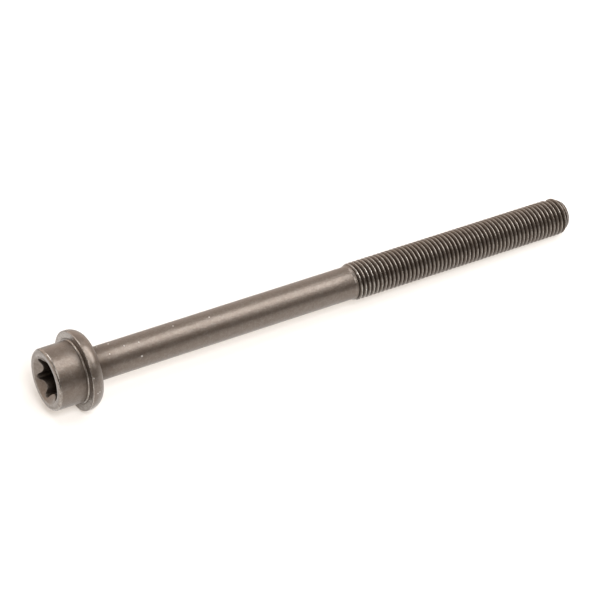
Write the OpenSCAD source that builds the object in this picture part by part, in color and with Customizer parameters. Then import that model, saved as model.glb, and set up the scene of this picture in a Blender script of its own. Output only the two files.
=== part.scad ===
// Flanged cylinder head bolt with a six-lobe socket, lying as it comes to rest.
// It is turned and forged in one piece, so it is one solid.
// Stations along the bolt are measured from the face of the head towards the tip.

/* [Head] */
// Diameter of the cylindrical head
head_d = 15.9; // [14.5:0.1:17.5]
// Height of the cylindrical head above the flange
head_h = 7.9; // [7.4:0.1:10]
// Radius of the rounded front edge of the head
head_edge_r = 0.7; // [0.3:0.1:0.8]

/* [Socket] */
// Socket width over two opposite lobes, as on a size 55 driver
socket_tip_w = 11.35; // [11:0.05:11.6]
// Socket width between two opposite inward lobes
socket_waist_w = 8.05; // [7.8:0.05:8.3]
// Radius of each outward lobe
socket_tip_r = 0.8; // [0.7:0.05:0.9]
// Depth of the lobed walls below the face of the head
socket_depth = 6.2; // [5:0.1:7]
// Depth of the punched cone in the socket's floor
socket_cone_h = 1.2; // [0.6:0.1:1.8]
// Turn of the lobes about the bolt's axis in degrees
socket_turn = 7; // [0:1:59]
// Diameter of the countersink where it meets the face
countersink_d = 12.6; // [12.3:0.1:13.2]
// Angle of the countersink from wall to wall in degrees
countersink_angle = 110; // [90:5:120]

/* [Flange] */
// Diameter over the rim of the flange
flange_d = 20.6; // [19.5:0.1:22]
// Thickness of the flange from its flat front to the seat
flange_t = 3.3; // [2.9:0.1:4]
// Radius of the rim's front edge
rim_front_r = 0.2; // [0.1:0.05:0.4]
// Length of the rim from the flange's front to the start of its rounded back
rim_band_l = 0.85; // [0.7:0.05:1.1]
// Radius of the rim's rounded back
rim_back_r = 3.4; // [2.8:0.1:4]
// Radius of the fillet in the corner between head and flange
neck_fillet_r = 0.5; // [0.2:0.05:1]

/* [Shank and thread] */
// Diameter of the plain shank
shank_d = 8.7; // [8.4:0.1:9.2]
// Radius of the fillet between flange and shank
seat_fillet_r = 0.8; // [0.4:0.1:1.2]
// Length from the seat under the flange to the tip
bolt_l = 144.5; // [110:0.5:180]
// Length of the threaded end, tip included
thread_l = 67.1; // [40:0.1:90]
// Outside diameter of the thread
thread_d = 9.9; // [9.7:0.05:10]
// Length of the taper from the shank up to the thread
taper_l = 1.4; // [0.8:0.1:3]
// Length of the chamfer at the tip
point_l = 2; // [1:0.1:3]
// Diameter of the flat end of the tip
point_d = 7.4; // [6.8:0.1:8.2]

/* [Hidden] */
$fn = 96;
steel = [0.44, 0.41, 0.37];
lobes = 6;
lobe_step = 360 / lobes;
over = 1;

head_r = head_d / 2;
flange_r = flange_d / 2;
shank_r = shank_d / 2;
thread_r = thread_d / 2;
point_r = point_d / 2;

seat_z = head_h + flange_t;
tip_z = seat_z + bolt_l;
thread_z = tip_z - thread_l;
chamfer_z = tip_z - point_l;
rim_front_centre_r = flange_r - rim_front_r;
rim_front_centre_z = head_h + rim_front_r;
rim_back_centre_r = flange_r - rim_back_r;
rim_back_z = head_h + rim_band_l;

// The inward lobes are arcs that meet the outward lobes without a corner
tip_centre_r = socket_tip_w / 2 - socket_tip_r;
waist_r = socket_waist_w / 2;
tip_reach = tip_centre_r * cos(lobe_step / 2);
lobe_in_r = (pow(tip_centre_r, 2) + pow(waist_r, 2) - 2 * waist_r * tip_reach - pow(socket_tip_r, 2))
    / (2 * (socket_tip_r - waist_r + tip_reach));
lobe_in_centre_r = waist_r + lobe_in_r;

// Step from the centre of an outward lobe to that of the next inward one, and where they touch
lobe_reach = lobe_in_centre_r * [cos(lobe_step / 2), sin(lobe_step / 2)] - [tip_centre_r, 0];
lobe_join = [tip_centre_r, 0] + socket_tip_r * lobe_reach / norm(lobe_reach);
lobe_join_r = norm(lobe_join);
lobe_join_angle = atan2(lobe_join[1], lobe_join[0]);

// At rest the bolt bears on the back of its rim and on the last full thread
rest_run = chamfer_z - rim_back_z;
rest_rise = rim_back_centre_r - thread_r;
rest_tilt = asin(rim_back_r / norm([rest_run, rest_rise])) + atan(rest_rise / rest_run);
rest_height = rim_back_centre_r * cos(rest_tilt) + rim_back_z * sin(rest_tilt) + rim_back_r;
front_x = head_edge_r * cos(rest_tilt) - (head_r - head_edge_r) * sin(rest_tilt) - head_edge_r;
back_x = tip_z * cos(rest_tilt) + point_r * sin(rest_tilt);

// Fills a concave corner at [x, y] with a fillet; the metal lies towards -x and -sy * y
module fill_corner(x, y, sy, r) {
    difference() {
        translate([x, sy > 0 ? y : y - r])
            square([r, r]);
        translate([x + r, y + sy * r])
            circle(r = r);
    }
}

// Half section of the head, from its axis outwards
module head_section() {
    polygon([
        [0, 0],
        [head_r - head_edge_r, 0],
        [head_r, head_edge_r],
        [head_r, seat_z],
        [0, seat_z]
    ]);
    translate([head_r - head_edge_r, head_edge_r])
        circle(r = head_edge_r);
    fill_corner(head_r, head_h, -1, neck_fillet_r);
}

// Half section of the flange: flat front, rim and rounded back
module flange_section() {
    difference() {
        union() {
            polygon([
                [0, head_h],
                [rim_front_centre_r, head_h],
                [flange_r, rim_front_centre_z],
                [flange_r, seat_z],
                [0, seat_z]
            ]);
            translate([rim_front_centre_r, rim_front_centre_z])
                circle(r = rim_front_r);
        }
        translate([rim_back_centre_r, rim_back_z])
            difference() {
                square([rim_back_r + over, seat_z - rim_back_z + over]);
                circle(r = rim_back_r);
            }
    }
    fill_corner(shank_r, seat_z, 1, seat_fillet_r);
}

// Half section of the shank, the threaded end at its outside size and the tip
module shank_section() {
    polygon([
        [0, head_h],
        [shank_r, head_h],
        [shank_r, thread_z - taper_l],
        [thread_r, thread_z],
        [thread_r, chamfer_z],
        [point_r, tip_z],
        [0, tip_z]
    ]);
}

// Outline of the six-lobe socket
module socket_outline() {
    difference() {
        polygon([
            for (i = [0 : lobes - 1], side = [-1, 1])
                let (a = i * lobe_step + side * lobe_join_angle)
                    lobe_join_r * [cos(a), sin(a)]
        ]);
        for (i = [0 : lobes - 1])
            rotate((i + 0.5) * lobe_step)
                translate([lobe_in_centre_r, 0])
                    circle(r = lobe_in_r);
    }
    for (i = [0 : lobes - 1])
        rotate(i * lobe_step)
            translate([tip_centre_r, 0])
                circle(r = socket_tip_r);
}

// Everything that the socket takes out of the head
module socket() {
    mouth_l = countersink_d / 2 / tan(countersink_angle / 2);
    rotate(socket_turn)
        translate([0, 0, -over])
            linear_extrude(socket_depth + over)
                socket_outline();
    translate([0, 0, socket_depth])
        cylinder(r1 = waist_r, r2 = 0, h = socket_cone_h);
    cylinder(r1 = countersink_d / 2, r2 = 0, h = mouth_l);
}

// The whole bolt, standing on the face of its head
module bolt_upright() {
    difference() {
        rotate_extrude() {
            head_section();
            flange_section();
            shank_section();
        }
        socket();
    }
}

// The bolt as it lies, centred over the origin
module bolt() {
    color(steel)
        translate([-(front_x + back_x) / 2, 0, rest_height])
            rotate([0, 90 + rest_tilt, 0])
                bolt_upright();
}

bolt();
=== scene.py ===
"""Cylinder head bolt on a white studio floor: the bolt's detailed skin, its steel, the light and the camera."""
import math

import bmesh
import bpy
from mathutils import Matrix, Vector, noise


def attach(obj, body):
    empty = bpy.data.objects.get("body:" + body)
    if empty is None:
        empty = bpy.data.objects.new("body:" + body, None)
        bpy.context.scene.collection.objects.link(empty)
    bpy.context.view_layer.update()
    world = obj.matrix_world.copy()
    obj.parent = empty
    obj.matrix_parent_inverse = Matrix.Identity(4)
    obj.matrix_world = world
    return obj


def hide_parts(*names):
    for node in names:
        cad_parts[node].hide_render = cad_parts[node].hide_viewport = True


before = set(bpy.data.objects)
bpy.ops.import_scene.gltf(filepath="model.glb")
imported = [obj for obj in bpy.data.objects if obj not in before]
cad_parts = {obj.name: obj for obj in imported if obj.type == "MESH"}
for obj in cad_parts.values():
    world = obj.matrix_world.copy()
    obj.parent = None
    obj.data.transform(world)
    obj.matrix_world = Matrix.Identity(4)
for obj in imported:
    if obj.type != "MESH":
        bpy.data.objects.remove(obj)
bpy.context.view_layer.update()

# Sizes in millimetres, the same as the solid's, measured from the face of the head
MM = 0.001
HEAD_R = 7.95
HEAD_H = 7.9
HEAD_EDGE_R = 0.7
SOCKET_TIP_R = 0.8
SOCKET_WAIST = 4.025
SOCKET_REACH = 5.675
SOCKET_DEPTH = 6.2
SOCKET_CONE_H = 1.2
SOCKET_TURN = math.radians(7)
COUNTERSINK_R = 6.3
COUNTERSINK_HALF_ANGLE = math.radians(55)
FLANGE_R = 10.3
FLANGE_T = 3.3
RIM_FRONT_R = 0.2
RIM_BAND_L = 0.85
RIM_BACK_R = 3.4
NECK_FILLET_R = 0.5
SHANK_R = 4.35
SEAT_FILLET_R = 0.8
BOLT_L = 144.5
THREAD_L = 67.1
THREAD_R = 4.95
TAPER_L = 1.4
POINT_L = 2.0
POINT_R = 3.7

# The thread's form
PITCH = 1.25
THREAD_DEPTH = 0.6134 * PITCH
NEAR_SIDE = math.radians(-128.9)
NEAR_CREST = 88.78
THREAD_LEAD_IN = 0.9
THREAD_RUN_IN = 0.8

# Stations worked out from the sizes
SEAT = HEAD_H + FLANGE_T
TIP = SEAT + BOLT_L
THREAD_START = TIP - THREAD_L
GROOVES_FROM = THREAD_START - THREAD_LEAD_IN
POINT_START = TIP - POINT_L
RIM_BACK = HEAD_H + RIM_BAND_L
RIM_BACK_CENTRE = FLANGE_R - RIM_BACK_R

# The bolt bears on the back of its rim and on the last full thread
REST_RUN = POINT_START - RIM_BACK
REST_RISE = RIM_BACK_CENTRE - THREAD_R
REST_TILT = math.asin(RIM_BACK_R / math.hypot(REST_RUN, REST_RISE)) + math.atan(REST_RISE / REST_RUN)
REST_HEIGHT = RIM_BACK_CENTRE * math.cos(REST_TILT) + RIM_BACK * math.sin(REST_TILT) + RIM_BACK_R
FRONT_X = HEAD_EDGE_R * math.cos(REST_TILT) - (HEAD_R - HEAD_EDGE_R) * math.sin(REST_TILT) - HEAD_EDGE_R
BACK_X = TIP * math.cos(REST_TILT) + POINT_R * math.sin(REST_TILT)
LYING = (
    Matrix.Translation((-(FRONT_X + BACK_X) / 2 * MM, 0, REST_HEIGHT * MM))
    @ Matrix.Rotation(math.pi / 2 + REST_TILT, 4, "Y")
    @ Matrix.Scale(MM, 4)
)

# Mesh density round the bolt: the thread has half as many steps as the head
HEAD_STEPS = 240
THREAD_STEPS = HEAD_STEPS // 2

# How far the wear on an edge reaches past its rounding
WEAR_LIMIT = 0.1

# Bright specks where the coating has chipped: station, angle in degrees, distance from the axis, size
CHIPS = [
    (14.8, 166, SHANK_R, 0.22),
    (17.8, 171, SHANK_R, 0.26),
    (16.6, -146, SHANK_R, 0.20),
    (21.0, -158, SHANK_R, 0.22),
    (24.6, -107, SHANK_R, 0.32),
    (25.0, -155, SHANK_R, 0.22),
    (35.5, -175, SHANK_R, 0.26),
    (45.4, -164, SHANK_R, 0.24),
    (8.3, -111, FLANGE_R, 0.24),
    (9.0, -86.5, FLANGE_R - 0.02, 0.20),
    (9.6, -87.4, FLANGE_R - 0.1, 0.22),
    (88.5, -147, THREAD_R, 0.50),
    (91.2, -144, THREAD_R, 0.40),
    (92.6, -141, THREAD_R, 0.30),
    (92.6, -128, THREAD_R, 0.26),
    (96.1, -163, THREAD_R, 0.28),
    (97.4, -170, THREAD_R, 0.28),
    (90.1, -90, THREAD_R, 0.28),
    (95.3, -86.5, THREAD_R, 0.26),
]

# Small knocks in the thread's crests: station, angle in degrees, half width and depth
NICKS = [
    (114.4, -114, 0.7, 0.30),
    (125.2, -114, 0.6, 0.25),
    (134.4, -101, 0.6, 0.25),
    (149.2, -127, 0.8, 0.40),
    (152.2, 141, 0.9, 0.50),
]


def arc(centre_r, centre_z, radius, start, end, steps):
    """Points (radius, station) along an arc; angles in degrees from outwards towards the tip."""
    for i in range(steps + 1):
        a = math.radians(start + (end - start) * i / steps)
        yield centre_r + radius * math.cos(a), centre_z + radius * math.sin(a)


def socket_wall(angle):
    """Distance from the axis to the socket's lobed wall at an angle round it."""
    tip_centre = SOCKET_REACH - SOCKET_TIP_R
    reach = tip_centre * math.cos(math.pi / 6)
    waist_term = tip_centre ** 2 + SOCKET_WAIST ** 2 - 2 * SOCKET_WAIST * reach - SOCKET_TIP_R ** 2
    lobe_r = waist_term / (2 * (SOCKET_TIP_R - SOCKET_WAIST + reach))
    lobe_centre = SOCKET_WAIST + lobe_r
    to_lobe = Vector((lobe_centre * math.cos(math.pi / 6) - tip_centre, lobe_centre / 2))
    join = Vector((tip_centre, 0)) + to_lobe.normalized() * SOCKET_TIP_R
    folded = abs((angle - SOCKET_TURN + math.pi / 6) % (math.pi / 3) - math.pi / 6)
    if folded < math.atan2(join.y, join.x):
        return tip_centre * math.cos(folded) + math.sqrt(SOCKET_TIP_R ** 2 - (tip_centre * math.sin(folded)) ** 2)
    off = math.pi / 6 - folded
    return lobe_centre * math.cos(off) - math.sqrt(lobe_r ** 2 - (lobe_centre * math.sin(off)) ** 2)


def countersink_depth(radius):
    """Station of the countersink's cone at a radius."""
    return (COUNTERSINK_R - radius) / math.tan(COUNTERSINK_HALF_ANGLE)


def smooth(x):
    """Eases from 0 to 1 as x does."""
    x = min(max(x, 0.0), 1.0)
    return x * x * (3 - 2 * x)


class Skin:
    """Collects the bolt's points, with how worn each one is and how much painted shade it carries, and its faces.
    """

    def __init__(self):
        self.points = []
        self.wear = []
        self.hollow_shade = []
        self.faces = []

    def point(self, radius, angle, station, wear=0.0, hollow_shade=0.0):
        self.points.append((radius * math.cos(angle), radius * math.sin(angle), station))
        self.wear.append(wear)
        self.hollow_shade.append(hollow_shade)
        return len(self.points) - 1

    def ring(self, radius, station, wear=0.0, hollow_shade=0.0, steps=HEAD_STEPS):
        """A ring of points; radius and station may be functions of the angle."""
        made = []
        for i in range(steps):
            a = 2 * math.pi * i / steps
            r = radius(a) if callable(radius) else radius
            z = station(a) if callable(station) else station
            made.append(self.point(r, a, z, wear, hollow_shade))
        return made

    def bridge(self, first, second):
        """Faces between two rings of as many points, or of twice as many in the first."""
        n = len(second)
        if len(first) == n:
            for i in range(n):
                j = (i + 1) % n
                self.faces.append((first[i], first[j], second[j], second[i]))
            return
        for i in range(n):
            j = (i + 1) % n
            a, b, c = first[2 * i], first[2 * i + 1], first[(2 * i + 2) % (2 * n)]
            self.faces.append((a, b, second[i]))
            self.faces.append((b, second[j], second[i]))
            self.faces.append((b, c, second[j]))

    def fan(self, centre, ring, outwards):
        """Closes a ring onto a centre point."""
        n = len(ring)
        for i in range(n):
            j = (i + 1) % n
            self.faces.append((centre, ring[j], ring[i]) if outwards else (centre, ring[i], ring[j]))


def socket_rings(skin):
    """The socket's coned floor, lobed walls and countersink, from the inside out."""
    # Painted shade: the socket's floor and walls are darkened fully at the floor and less towards the countersink,
    # with a little at the countersink's edges.
    floor = skin.point(0, 0, SOCKET_DEPTH + SOCKET_CONE_H, hollow_shade=1)
    rings = []
    for share in (0.3, 0.65, 0.985):
        z = SOCKET_DEPTH + SOCKET_CONE_H * (1 - share)
        rings.append(skin.ring(SOCKET_WAIST * share, z, hollow_shade=1))
    skin.fan(floor, rings[0], outwards=True)
    rings.append(skin.ring(lambda a: socket_wall(a) - 0.02, SOCKET_DEPTH, hollow_shade=1))
    for depth, hollow_shade in ((SOCKET_DEPTH - 0.05, 1), (4.5, 0.9), (3.0, 0.8)):
        rings.append(skin.ring(socket_wall, depth, hollow_shade=hollow_shade))
    edge = 0.05
    rings.append(skin.ring(socket_wall, lambda a: countersink_depth(socket_wall(a)) + edge, 0.4, 0.6))
    rings.append(skin.ring(
        lambda a: socket_wall(a) + 0.3 * edge,
        lambda a: countersink_depth(socket_wall(a) + 0.3 * edge) + 0.3 * edge,
        0.8,
    ))
    rings.append(skin.ring(
        lambda a: socket_wall(a) + edge,
        lambda a: countersink_depth(socket_wall(a) + edge),
        0.2,
        0.1,
    ))
    rings.append(skin.ring(COUNTERSINK_R - edge, countersink_depth(COUNTERSINK_R - edge), 0.2, 0.1))
    rings.append(skin.ring(COUNTERSINK_R, 0.3 * edge, 0.8))
    rings.append(skin.ring(COUNTERSINK_R + edge, 0, 0.3))
    return rings


def worn_arc(skin, centre_r, centre_z, radius, wear, steps):
    """Rings round a convex front edge, most worn half way along it, with a clean ring past each end."""
    rings = [skin.ring(centre_r - WEAR_LIMIT, centre_z - radius)]
    for k, (r, z) in enumerate(arc(centre_r, centre_z, radius, -90, 0, steps)):
        rings.append(skin.ring(r, z, wear * math.sqrt(math.sin(math.pi * k / steps))))
    rings.append(skin.ring(centre_r + radius, centre_z + WEAR_LIMIT))
    return rings


def head_rings(skin):
    """The face's flat ring, its rounded edge, the head's side and the corner at the flange, with painted shade at
    that corner.
    """
    rings = worn_arc(skin, HEAD_R - HEAD_EDGE_R, HEAD_EDGE_R, HEAD_EDGE_R, 0.6, 12)
    rings.append(skin.ring(HEAD_R, HEAD_H / 2))
    rings.append(skin.ring(HEAD_R, HEAD_H - NECK_FILLET_R - 0.3))
    steps = 10
    # The fillet in the corner is darkened at both ends as painted shade, and worn bright half way round it.
    for k, (r, z) in enumerate(arc(HEAD_R + NECK_FILLET_R, HEAD_H - NECK_FILLET_R, NECK_FILLET_R, 180, 90, steps)):
        middle = math.sin(math.pi * k / steps) ** 2
        rings.append(skin.ring(r, z, 0.7 * middle, 0.6 * (1 - middle)))
    return rings


def flange_rings(skin):
    """The flange's flat front, rim, rounded back and seat."""
    rings = [skin.ring(HEAD_R + NECK_FILLET_R + WEAR_LIMIT, HEAD_H, 0.45)]
    rings.append(skin.ring(FLANGE_R - RIM_FRONT_R - 2 * WEAR_LIMIT, HEAD_H, 0.45))
    rings += worn_arc(skin, FLANGE_R - RIM_FRONT_R, HEAD_H + RIM_FRONT_R, RIM_FRONT_R, 0.8, 6)
    end = math.degrees(math.asin((SEAT - RIM_BACK) / RIM_BACK_R))
    for r, z in arc(RIM_BACK_CENTRE, RIM_BACK, RIM_BACK_R, 0, end, 14):
        rings.append(skin.ring(r, z, 0.1))
    rings.append(skin.ring(r - 0.15, SEAT, 0.2))
    # Painted shade in the corner under the flange, on the seat and its fillet into the shank.
    rings.append(skin.ring(SHANK_R + SEAT_FILLET_R + 0.3, SEAT, hollow_shade=0.3))
    for r, z in arc(SHANK_R + SEAT_FILLET_R, SEAT + SEAT_FILLET_R, SEAT_FILLET_R, -90, -180, 7):
        rings.append(skin.ring(r, z, hollow_shade=0.5))
    return rings


def shank_rings(skin):
    """The plain shank, up to the foot of its taper."""
    start = SEAT + SEAT_FILLET_R
    end = THREAD_START - TAPER_L
    rings = []
    for i in range(1, 13):
        rings.append(skin.ring(SHANK_R, start + (end - start) * i / 12))
    return rings


def blank_radius(station):
    """Radius of the threaded end before its grooves are rolled."""
    if station < THREAD_START:
        return SHANK_R + (THREAD_R - SHANK_R) * max(0, (station - THREAD_START + TAPER_L) / TAPER_L)
    if station > POINT_START:
        return THREAD_R + (POINT_R - THREAD_R) * (station - POINT_START) / POINT_L
    return THREAD_R


# One pitch of the thread from a crest's middle: share of the pitch, share of the depth
THREAD_FORM = [
    (-0.075, 0.02), (0.0, 0.0), (0.075, 0.02), (0.125, 0.09), (0.365, 0.90),
    (0.425, 0.985), (0.5, 1.0), (0.575, 0.985), (0.635, 0.90), (0.875, 0.09),
]


def thread_columns(skin):
    """Columns of points along the thread, row for row on its helix, held between the taper and the tip."""
    first = GROOVES_FROM
    turns = int((TIP - first) / PITCH) + 4
    columns = []
    for i in range(THREAD_STEPS):
        angle = 2 * math.pi * i / THREAD_STEPS
        lead = PITCH * ((angle - NEAR_SIDE) / (2 * math.pi))
        base = NEAR_CREST + lead - PITCH * (math.ceil((NEAR_CREST - first) / PITCH) + 2)
        column = []
        for turn in range(turns + 1):
            for share, depth in THREAD_FORM:
                z = base + (turn + share) * PITCH
                held = min(max(z, first), TIP)
                run_in = smooth((held - THREAD_START + THREAD_LEAD_IN) / THREAD_RUN_IN)
                cut = THREAD_R - depth * THREAD_DEPTH * run_in
                wobble = 0.02 * noise.noise(Vector((3 * math.cos(angle), 3 * math.sin(angle), held)))
                radius = min(blank_radius(held), cut + wobble * (1 - depth) * run_in - nick(held, angle, depth))
                crest = (1 - min(1, 5 * depth)) * run_in
                # Painted shade in the thread's roots, deeper in the groove, once the thread is fully cut.
                hollow_shade = min(1, 2 * depth) * run_in
                column.append(skin.point(radius, angle, held, crest * crest_wear(held), hollow_shade))
        columns.append(column)
    return columns


def crest_wear(station):
    """How worn the thread's crests are: most at the first turns, where the hole's mouth has rubbed them."""
    return 0.45 + 0.35 * smooth(1 - (station - THREAD_START) / 12)


def nick(station, angle, depth):
    """How far a knock has pushed the crest in at this point."""
    total = 0.0
    for at, degrees, half_width, deep in NICKS:
        across = (angle - math.radians(degrees) + math.pi) % (2 * math.pi) - math.pi
        far = math.hypot(station - at, across * THREAD_R) / half_width
        total += deep * (1 - depth) * smooth(1 - far)
    return total


def thread_faces(skin, columns):
    """Joins the columns; the last column meets the first one turn further on."""
    form = len(THREAD_FORM)
    rows = len(columns[0])
    for i, column in enumerate(columns):
        last = i == len(columns) - 1
        other = columns[0] if last else columns[i + 1]
        shift = form if last else 0
        for j in range(rows - 1 - shift):
            skin.faces.append((column[j], other[j + shift], other[j + 1 + shift], column[j + 1]))


def bolt_mesh():
    """The bolt's skin as one closed mesh, lying where the solid lies."""
    skin = Skin()
    rings = socket_rings(skin) + head_rings(skin) + flange_rings(skin) + shank_rings(skin)
    for first, second in zip(rings, rings[1:]):
        skin.bridge(first, second)
    start = THREAD_START - TAPER_L
    taper = []
    for k in (1, 2, 3):
        station = start + (GROOVES_FROM - start) * k / 3
        taper.append(skin.ring(blank_radius(station), station, 0.2, steps=THREAD_STEPS))
    skin.bridge(rings[-1], taper[0])
    for first, second in zip(taper, taper[1:]):
        skin.bridge(first, second)
    columns = thread_columns(skin)
    thread_faces(skin, columns)
    rim = [column[-1] for column in columns]
    inner = skin.ring(POINT_R - 0.25, TIP, 0.3, steps=THREAD_STEPS)
    skin.bridge(rim, inner)
    skin.fan(skin.point(0, 0, TIP), inner, outwards=True)
    mesh = bpy.data.meshes.new("bolt_skin")
    mesh.from_pydata([LYING @ Vector(p) for p in skin.points], [], skin.faces)
    # Wear and the painted shade of the hollows go to the material as point layers.
    for name, values in (("wear", skin.wear), ("hollow_shade", skin.hollow_shade)):
        layer = mesh.attributes.new(name, "FLOAT", "POINT")
        layer.data.foreach_set("value", values)
    return mesh


def weld(mesh):
    """Merges the points that the helix leaves together at its ends, and turns the faces outwards."""
    work = bmesh.new()
    work.from_mesh(mesh)
    bmesh.ops.remove_doubles(work, verts=work.verts, dist=1e-7)
    bmesh.ops.dissolve_degenerate(work, edges=work.edges, dist=1e-7)
    bmesh.ops.recalc_face_normals(work, faces=work.faces)
    work.to_mesh(mesh)
    work.free()


class Nodes:
    """Builds a material's node tree, one short call a node."""

    def __init__(self, name):
        self.material = bpy.data.materials.new(name)
        self.material.use_nodes = True
        self.tree = self.material.node_tree
        self.shader = self.tree.nodes["Principled BSDF"]
        self.place = self.tree.nodes.new("ShaderNodeTexCoord").outputs["Object"]

    def link(self, source, target):
        self.tree.links.new(source, target)

    def new(self, kind, inputs=None, **settings):
        node = self.tree.nodes.new("ShaderNode" + kind)
        for key, value in settings.items():
            setattr(node, key, value)
        for key, value in (inputs or {}).items():
            if isinstance(value, bpy.types.NodeSocket):
                self.link(value, node.inputs[key])
            else:
                node.inputs[key].default_value = value
        return node

    def noise(self, size_mm, detail=3.0, roughness=0.5):
        """Noise whose lumps are about this size in millimetres."""
        node = self.new("TexNoise", {"Vector": self.place, "Scale": 1 / (size_mm * MM),
                                     "Detail": detail, "Roughness": roughness})
        return node.outputs["Fac"]

    def ramp(self, value, low, high, to_low=0.0, to_high=1.0):
        """Maps a range of the value onto another range, held at both ends."""
        node = self.new("MapRange", {"Value": value, "From Min": low, "From Max": high,
                                     "To Min": to_low, "To Max": to_high})
        return node.outputs["Result"]

    def maths(self, operation, a, b):
        return self.new("Math", {0: a, 1: b}, operation=operation).outputs[0]

    def mix(self, factor, first, second):
        node = self.new("Mix", data_type="RGBA")
        for key, value in (("Factor_Float", factor), ("A_Color", first), ("B_Color", second)):
            socket = next(s for s in node.inputs if s.identifier == key)
            if isinstance(value, bpy.types.NodeSocket):
                self.link(value, socket)
            else:
                socket.default_value = value
        return next(s for s in node.outputs if s.identifier == "Result_Color")

    def layer(self, name):
        return self.new("Attribute", attribute_name=name).outputs["Fac"]


def bolt_steel():
    """Satin phosphated steel: brownish grey, mottled, with painted shade in its corners and hollows, and bright on
    its worn edges.
    """
    m = Nodes("bolt_steel")
    body = (0.200, 0.165, 0.139, 1)
    brown = (0.145, 0.105, 0.075, 1)
    bright = (0.78, 0.75, 0.70, 1)
    # The dark brown that the painted shade in the hollows mixes in
    hollow_shade_colour = (0.048, 0.034, 0.024, 1)

    mottle = m.ramp(m.noise(1.4, 4.0, 0.6), 0.38, 0.66)
    along = m.new("SeparateXYZ", {0: m.place}).outputs["X"]
    browned = m.maths("ADD", m.ramp(along, -60 * MM, 10 * MM, 0.7, 0.35), m.ramp(along, 10 * MM, 20 * MM, 0, 0.35))
    colour = m.mix(m.maths("MULTIPLY", mottle, browned), body, brown)
    colour = m.mix(m.ramp(m.noise(0.5, 2.0, 0.6), 0.4, 0.6, 0.0, 0.55), colour, brown)
    colour = m.mix(m.ramp(along, 75 * MM, 77.5 * MM, 0.0, 0.7), colour, brown)
    specks = 0.0
    for station, degrees, radius, size in CHIPS:
        a = math.radians(degrees)
        spot = LYING @ Vector((radius * math.cos(a), radius * math.sin(a), station))
        far = m.new("VectorMath", {0: m.place, 1: spot}, operation="DISTANCE").outputs["Value"]
        specks = m.maths("MAXIMUM", specks, m.ramp(far, 0.4 * size * MM, size * MM, 1.0, 0.0))
    rubbed = m.layer("wear")
    wear = m.maths("MULTIPLY", rubbed, m.ramp(m.noise(0.8, 3.0, 0.6), 0.35, 0.6, 0.2, 1.0))
    colour = m.mix(m.maths("MULTIPLY", wear, 0.5), colour, bright)
    # Painted shade in the hollows: the colour darkens towards that dark brown, the steel roughens and its coat
    # thins there.
    hollow_shade = m.maths("MULTIPLY", m.layer("hollow_shade"), 0.9)
    colour = m.mix(hollow_shade, colour, hollow_shade_colour)
    colour = m.mix(m.maths("MULTIPLY", specks, 0.85), colour, bright)
    m.link(colour, m.shader.inputs["Base Color"])

    rough = m.ramp(m.noise(0.9, 5.0, 0.6), 0.3, 0.7, 0.40, 0.51)
    rough = m.maths("ADD", rough, m.maths("MULTIPLY", hollow_shade, 0.2))
    rough = m.maths("SUBTRACT", rough, m.maths("MULTIPLY", rubbed, 0.35))
    m.link(rough, m.shader.inputs["Roughness"])
    m.shader.inputs["Metallic"].default_value = 1.0
    m.link(m.ramp(hollow_shade, 0.0, 0.8, 1.0, 0.0), m.shader.inputs["Coat Weight"])
    m.link(m.ramp(rubbed, 0.0, 1.0, 0.34, 0.1), m.shader.inputs["Coat Roughness"])

    grain = m.maths("ADD", m.noise(0.45, 2.0, 0.5), m.maths("MULTIPLY", m.noise(1.5, 1.0, 0.5), 0.8))
    height = m.maths("ADD", grain, m.maths("MULTIPLY", specks, 1.2))
    bump = m.new("Bump", {"Height": height, "Distance": 0.06 * MM, "Strength": 0.9})
    m.link(bump.outputs["Normal"], m.shader.inputs["Coat Normal"])
    m.link(bump.outputs["Normal"], m.shader.inputs["Normal"])
    return m.material


def floor_white():
    """A white table that keeps the bolt's shadow and reads as white to the camera; in the steel's reflections it
    is painted: darker far to the side and glowing a little near the bolt.
    """
    m = Nodes("floor_white")
    m.shader.inputs["Roughness"].default_value = 0.9
    m.shader.inputs["Specular IOR Level"].default_value = 0.0
    rays = m.new("LightPath").outputs
    # Painted reflection: for reflected rays only, the table's colour darkens far to the side of the bolt and it
    # glows a little near the bolt.
    aside = m.maths("ABSOLUTE", m.new("SeparateXYZ", {0: m.place}).outputs["Y"], 0.0)
    far = m.maths("MULTIPLY", rays["Is Glossy Ray"], m.ramp(aside, 20 * MM, 90 * MM))
    m.link(m.mix(far, (0.42, 0.42, 0.42, 1), (0.26, 0.26, 0.26, 1)), m.shader.inputs["Base Color"])
    reflection_glow = m.maths("MULTIPLY", rays["Is Glossy Ray"], m.ramp(aside, 20 * MM, 90 * MM, 0.2, 0.0))
    outer = m.ramp(m.new("VectorMath", {0: m.place}, operation="LENGTH").outputs["Value"], 300 * MM, 1200 * MM)
    seen = m.maths("MULTIPLY", rays["Is Camera Ray"], m.ramp(outer, 0.0, 1.0, 0.38, 1.0))
    m.link(m.maths("ADD", seen, reflection_glow), m.shader.inputs["Emission Strength"])
    m.link(m.mix(outer, (1.0, 0.87, 0.74, 1), (1, 1, 1, 1)), m.shader.inputs["Emission Color"])
    return m.material


def add_bolt():
    """The bolt's skin, in place of its solid."""
    mesh = bolt_mesh()
    weld(mesh)
    mesh.shade_smooth()
    mesh.set_sharp_from_angle(angle=math.radians(40))
    mesh.materials.append(bolt_steel())
    bolt = bpy.data.objects.new("bolt_skin", mesh)
    bpy.context.scene.collection.objects.link(bolt)
    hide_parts("bolt")
    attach(bolt, "root")
    return bolt


def add_floor():
    """A wide white floor under the bolt."""
    half = 3.0
    mesh = bpy.data.meshes.new("floor")
    mesh.from_pydata([(-half, -half, 0), (half, -half, 0), (half, half, 0), (-half, half, 0)], [], [(0, 1, 2, 3)])
    mesh.materials.append(floor_white())
    floor = bpy.data.objects.new("floor", mesh)
    bpy.context.scene.collection.objects.link(floor)


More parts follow.
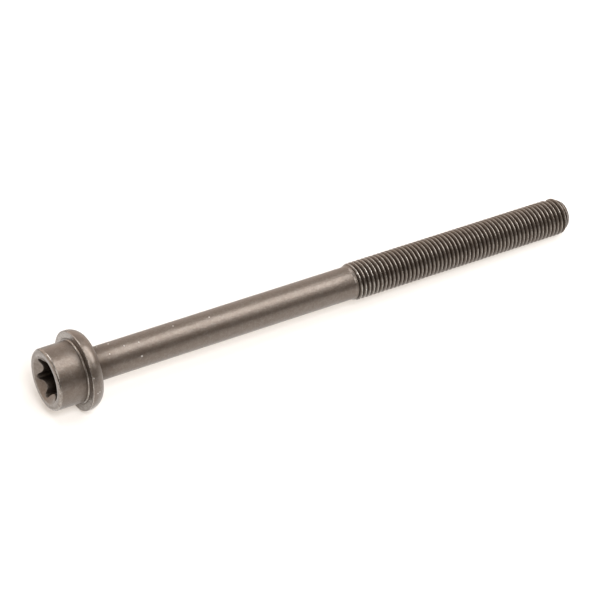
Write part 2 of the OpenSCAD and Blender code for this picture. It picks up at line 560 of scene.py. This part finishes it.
def add_softbox(name, place, aim, size, power):
    """A soft rectangular lamp at a place, turned towards a point."""
    lamp = bpy.data.lights.new(name, "AREA")
    lamp.shape = "RECTANGLE"
    lamp.size, lamp.size_y = size
    lamp.energy = power
    box = bpy.data.objects.new(name, lamp)
    box.location = place
    box.rotation_euler = (Vector(aim) - Vector(place)).to_track_quat("-Z", "Y").to_euler()
    bpy.context.scene.collection.objects.link(box)
    return box


def level_ramp(tree, height, stops):
    """Colour of the studio against the height of the direction looked in; stops are height, level, warmth."""
    ramp = tree.nodes.new("ShaderNodeValToRGB")
    tree.links.new(height, ramp.inputs["Fac"])
    elements = ramp.color_ramp.elements
    elements[0].position, elements[1].position = stops[0][0], stops[-1][0]
    for position, _, _ in stops[1:-1]:
        elements.new(position)
    for element, (_, level, warmth) in zip(elements, stops):
        element.color = (level, level * (1 - 0.13 * warmth), level * (1 - 0.22 * warmth), 1)
    return ramp.outputs["Color"]


def blend_colours(tree, factor, first, second):
    """First colour at 0, second at 1; the second may be a plain colour."""
    mix = tree.nodes.new("ShaderNodeMix")
    mix.data_type = "RGBA"
    sockets = {s.identifier: s for s in mix.inputs}
    tree.links.new(factor, sockets["Factor_Float"])
    tree.links.new(first, sockets["A_Color"])
    if isinstance(second, tuple):
        sockets["B_Color"].default_value = second
    else:
        tree.links.new(second, sockets["B_Color"])
    return next(s for s in mix.outputs if s.identifier == "Result_Color")


def add_world():
    """A studio round the bolt: a pale sweep behind it, a dim room in front, white where it is seen."""
    world = bpy.data.worlds.new("studio")
    world.use_nodes = True
    bpy.context.scene.world = world
    tree = world.node_tree
    place = tree.nodes.new("ShaderNodeTexCoord")
    split = tree.nodes.new("ShaderNodeSeparateXYZ")
    tree.links.new(place.outputs["Generated"], split.inputs[0])
    height = split.outputs["Z"]
    front = level_ramp(tree, height, [(0.0, 0.05, 2), (0.22, 0.07, 2), (0.55, 0.45, 0.5), (1.0, 0.5, 0)])
    behind = level_ramp(tree, height, [(0.0, 1.25, 1.4), (0.35, 1.05, 0.9), (0.8, 0.65, 0.4), (1.0, 0.5, 0)])
    turn = tree.nodes.new("ShaderNodeMapRange")
    tree.links.new(split.outputs["Y"], turn.inputs["Value"])
    turn.inputs["From Min"].default_value = -0.35
    turn.inputs["From Max"].default_value = 0.45
    room = blend_colours(tree, turn.outputs["Result"], front, behind)
    rays = tree.nodes.new("ShaderNodeLightPath")
    shown = blend_colours(tree, rays.outputs["Is Camera Ray"], room, (1, 1, 1, 1))
    tree.links.new(shown, tree.nodes["Background"].inputs["Color"])


def add_camera():
    """The photograph's camera, fitted from the bolt's outline and the spacing of its thread."""
    azimuth, elevation = math.radians(-31.82), math.radians(35.23)
    aim = Vector((-4.93, -0.26, 7.61)) * MM
    distance = 692.4 * MM
    back = Vector((
        math.sin(azimuth) * math.cos(elevation),
        -math.cos(azimuth) * math.cos(elevation),
        math.sin(elevation),
    ))
    data = bpy.data.cameras.new("camera")
    data.lens = 162.66
    data.sensor_width = 36
    camera = bpy.data.objects.new("camera", data)
    camera.location = aim + back * distance
    camera.rotation_euler = (-back).to_track_quat("-Z", "Y").to_euler()
    bpy.context.scene.collection.objects.link(camera)
    bpy.context.scene.camera = camera


bpy.context.scene.view_settings.view_transform = "Standard"
add_bolt()
add_floor()
add_world()
add_softbox("lamp_overhead", (0.54, -0.25, 0.83), (0, 0, 0), (0.55, 0.95), 6.9)
add_softbox("lamp_front_left", (-0.35, -0.63, 0.68), (0, 0, 0), (0.30, 0.36), 1.6)
add_softbox("lamp_back_left", (-0.22, 0.40, 0.88), (0, 0, 0), (0.30, 0.56), 2.4)
fill = add_softbox("lamp_table", (-0.10, -0.61, 0.55), (0, 0, 0), (0.4, 0.4), 11.5)
fill.visible_glossy = False
add_camera()
